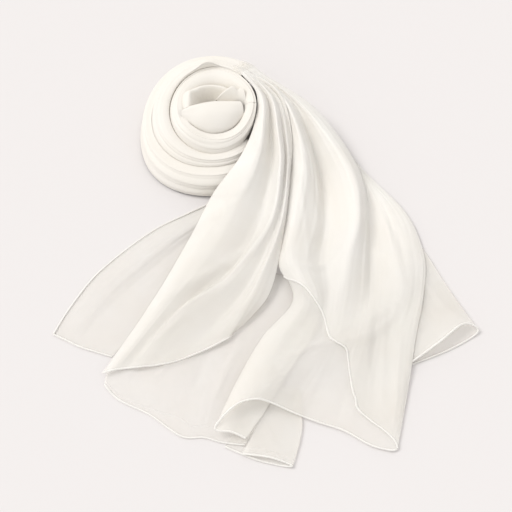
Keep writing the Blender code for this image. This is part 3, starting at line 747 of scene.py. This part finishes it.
def chiffon_material(name, weave, dark, light):
    """Ivory chiffon: sheer where one layer lies, with a fine crepe weave and a faint sheen.
    weave is how close the threads lie, and the tone varies from dark to light."""
    material, nodes, links = principled(name)
    shader = nodes["Principled BSDF"]
    shader.inputs["Roughness"].default_value = 0.6
    shader.inputs["Specular IOR Level"].default_value = 0.25
    shader.inputs["Sheen Weight"].default_value = 0.25
    shader.inputs["Sheen Roughness"].default_value = 0.45
    coordinates = nodes.new("ShaderNodeTexCoord")
    cloud = nodes.new("ShaderNodeTexNoise")
    cloud.inputs["Scale"].default_value = 14.0
    cloud.inputs["Detail"].default_value = 3.0
    links.new(coordinates.outputs["Object"], cloud.inputs["Vector"])
    tone = nodes.new("ShaderNodeValToRGB")
    tone.color_ramp.elements[0].position = 0.3
    tone.color_ramp.elements[0].color = (*dark, 1)
    tone.color_ramp.elements[1].position = 0.7
    tone.color_ramp.elements[1].color = (*light, 1)
    links.new(cloud.outputs["Fac"], tone.inputs["Fac"])
    links.new(tone.outputs["Color"], shader.inputs["Base Color"])
    film = nodes.new("ShaderNodeAttribute")
    film.attribute_name = "cover"
    links.new(film.outputs["Fac"], shader.inputs["Alpha"])
    heights = []
    for direction in ("X", "Y"):
        thread = nodes.new("ShaderNodeTexWave")
        thread.wave_type = "BANDS"
        thread.bands_direction = direction
        thread.inputs["Scale"].default_value = weave
        thread.inputs["Distortion"].default_value = 1.2
        thread.inputs["Detail"].default_value = 1.0
        links.new(coordinates.outputs["UV"], thread.inputs["Vector"])
        heights.append(thread.outputs["Fac"])
    cross = nodes.new("ShaderNodeMath")
    cross.operation = "ADD"
    links.new(heights[0], cross.inputs[0])
    links.new(heights[1], cross.inputs[1])
    relief = nodes.new("ShaderNodeBump")
    relief.inputs["Strength"].default_value = 0.12
    relief.inputs["Distance"].default_value = 0.0003
    links.new(cross.outputs["Value"], relief.inputs["Height"])
    links.new(relief.outputs["Normal"], shader.inputs["Normal"])
    return material


def floor_material():
    """Matt pale surface that the shawl lies on."""
    material, nodes, _ = principled("pale surface")
    shader = nodes["Principled BSDF"]
    shader.inputs["Base Color"].default_value = FLOOR_COLOUR
    shader.inputs["Roughness"].default_value = 0.85
    shader.inputs["Specular IOR Level"].default_value = 0.1
    return material


CHIFFON = chiffon_material("chiffon", 420.0,
                           dark=(0.935, 0.905, 0.850), light=(0.955, 0.935, 0.895))
HEM = chiffon_material("rolled hem", 260.0,
                       dark=(0.96, 0.94, 0.90), light=(0.97, 0.955, 0.92))
# The coil's cloth has a darker, warmer base colour than the sheets' chiffon: painted shade for the
# warm shade deep in the coil's folds.
SHADED_WOUND = chiffon_material("wound chiffon with painted shade", 420.0,
                         dark=(0.825, 0.790, 0.725), light=(0.845, 0.815, 0.765))


def make_coil(layers):
    """Cloth in the hollow, the petals of the heart and the three turns, from the inside out."""
    def heart(azimuth):
        return reach_to_heart(COIL, azimuth)

    def second_seam(azimuth):
        return seam_radius(azimuth, 1)

    def third_seam(azimuth):
        return seam_radius(azimuth, 2)

    def foot(azimuth):
        return seam_radius(azimuth, 3)

    hollow = smooth_grid(HOLLOW_FOLDS, steps(4, 8), steps(3, 10))
    wound_piece("hollow_cloth", "heart_inner_folds", hollow, layers)
    petals = (
        ("heart_left_cloth", "heart_left_petal", LEFT_PETAL_FOLDS),
        ("heart_right_cloth", "heart_right_petal", RIGHT_PETAL_FOLDS),
        ("heart_front_cloth", "heart_front_petal", FRONT_PETAL_FOLDS),
    )
    for name, node, folds in petals:
        grid = smooth_grid(folds, steps(len(folds) - 1, 10), steps(4, 10))
        wound_piece(name, node, grid, layers)
    turns = (
        ("first_turn_cloth", "coil_first_turn", FIRST_TURN, heart, second_seam, 0, 360,
         FIRST_STREAKS, 0.9),
        ("second_turn_cloth", "coil_second_turn", SECOND_TURN, second_seam, third_seam,
         LEAVE_AZIMUTH, TURN_END, SECOND_STREAKS, 1.8),
        ("third_turn_cloth", "coil_third_turn", THIRD_TURN, third_seam, foot,
         LEAVE_AZIMUTH, TURN_END, THIRD_STREAKS, 2.7),
    )
    for name, node, table, inner, outer, first, last, streaks, seed in turns:
        grid = wound_grid(table, inner, outer, first, last, streaks, seed)
        wound_piece(name, node, grid, layers)


def make_fan(layers):
    """The sheets of the fan, each laid on those below it."""
    across, down = steps(3, 14), steps(5, 12)
    grid = smooth_grid(LEFT_UNDER, across, down)
    gather(grid, across, down, LEFT_UNDER_PLEATS, 0.5)
    press_creases(grid, LEFT_UNDER_CREASES)
    sheet_piece("left_under_cloth", "left_under", grid, LEFT_UNDER_COVER, layers,
                hems=(("_side", grid[:, 0]), ("_end", grid[-1])))

    across, down = steps(6, 8), steps(4, 12)
    grid = smooth_grid(RIGHT_UNDER, across, down)
    press_creases(grid, RIGHT_UNDER_CREASES)
    sheet_piece("right_under_cloth", "right_under", grid, RIGHT_UNDER_COVER, layers,
                hems=(("_end", grid[-1]),))

    across, down = steps(4, 10), steps(2, 16)
    grid = smooth_grid(FRONT_UNDER, across, down)
    press_creases(grid, FRONT_UNDER_CREASES)
    sheet_piece("front_under_cloth", "front_under", grid, FRONT_UNDER_COVER, layers,
                hems=(("_end", grid[-1]),))

    across, down = steps(6, 12), steps(4, 16)
    grid = smooth_grid(FRONT_LEFT, across, down)
    gather(grid, across, down, FRONT_LEFT_PLEATS, 1.1)
    press_creases(grid, FRONT_LEFT_CREASES)
    sheet_piece("front_left_cloth", "front_left", grid, FRONT_LEFT_COVER, layers,
                hems=(("_end", grid[-1]),))

    front = FRONT_TUCK + RIGHT_LOWER
    across, down = steps(11, 9), steps(4, 18)
    grid = smooth_grid(front, across, down)
    gather(grid, across, down, FRONT_RIGHT_PLEATS, 1.9)
    press_creases(grid, FRONT_RIGHT_CREASES)
    sheet_piece("front_right_cloth", "front_right", grid, FRONT_RIGHT_COVER, layers,
                hems=(("_end", grid[-1]),))

    right = tuple(upper + lower[1:] for upper, lower in zip(RIGHT_UPPER, RIGHT_LOWER))
    points = fold_points(right)
    across, down = steps(9, 12), steps(9, 14)
    grid = np.zeros((len(down), len(across), 3))
    over_stations = curve_weights(points.shape[1], down)
    cut = [0.0] * len(down)
    for r, station in enumerate(down - 1):
        if station > SIDE_HEM[0][0]:
            cut[r] = float(table_at(SIDE_HEM, station)[0])
        places = np.clip(across, cut[r], 9.0)
        over_folds = curve_weights(points.shape[0], places)
        grid[r] = over_folds @ np.einsum("j,ijk->ik", over_stations[r], points)
    gather(grid, across, down, RIGHT_TOP_PLEATS, 2.6)
    press_creases(grid, RIGHT_TOP_CREASES)
    first = next(r for r, station in enumerate(down - 1) if station >= SIDE_HEM[0][0])
    sheet_piece("right_top_cloth", "right_top", grid, RIGHT_TOP_COVER, layers,
                hems=(("_side", grid[first:, 0]),))

    across, down = steps(6, 14), steps(8, 16)
    grid = smooth_grid(LEFT_FLAP, across, down)
    gather(grid, across, down, LEFT_FLAP_PLEATS, 3.3)
    press_creases(grid, FLAP_CREASES)
    sheet_piece("left_flap_cloth", "left_flap", grid, LEFT_FLAP_COVER, layers,
                hems=(("_end", grid[-1]),))


def make_stage():
    """The surface under the shawl."""
    mesh = bpy.data.meshes.new("floor")
    corners = ((-1, -1), (1, -1), (1, 1), (-1, 1))
    mesh.from_pydata([(x * FLOOR_REACH, y * FLOOR_REACH, 0) for x, y in corners],
                     [], [(0, 1, 2, 3)])
    mesh.materials.append(floor_material())
    floor = bpy.data.objects.new("floor", mesh)
    bpy.context.scene.collection.objects.link(floor)


def make_light():
    """A pale even sky and a broad soft light."""
    world = bpy.data.worlds.new("studio")
    bpy.context.scene.world = world
    world.use_nodes = True
    background = world.node_tree.nodes["Background"]
    background.inputs["Color"].default_value = SKY_COLOUR
    background.inputs["Strength"].default_value = SKY_STRENGTH
    lamp = bpy.data.lights.new("soft key", "SUN")
    lamp.energy = SUN_STRENGTH
    lamp.angle = math.radians(SUN_ANGLE)
    lamp.color = SUN_COLOUR
    key = bpy.data.objects.new("soft key", lamp)
    key.rotation_euler = Vector(SUN_DIRECTION).to_track_quat("-Z", "Y").to_euler()
    bpy.context.scene.collection.objects.link(key)
    bpy.context.scene.view_settings.view_transform = "Standard"
    bpy.context.scene.cycles.transparent_max_bounces = 64


def make_camera():
    """Camera in front and above, at the photo's angle to the surface."""
    data = bpy.data.cameras.new("camera")
    data.sensor_width = SENSOR
    data.lens = SENSOR * CAMERA_DISTANCE / FRAME_WIDTH
    camera = bpy.data.objects.new("camera", data)
    angle = math.radians(CAMERA_ELEVATION)
    target = Vector(place((0, 0, 0)))
    eye = Vector(place((0, -CAMERA_DISTANCE * math.cos(angle), CAMERA_DISTANCE * math.sin(angle))))
    camera.location = eye
    camera.rotation_euler = (target - eye).to_track_quat("-Z", "Y").to_euler()
    bpy.context.scene.collection.objects.link(camera)
    bpy.context.scene.camera = camera


make_camera()
made_layers = Layers()
make_coil(made_layers)
make_fan(made_layers)
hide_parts("neck_inner_folds")
make_stage()
make_light()
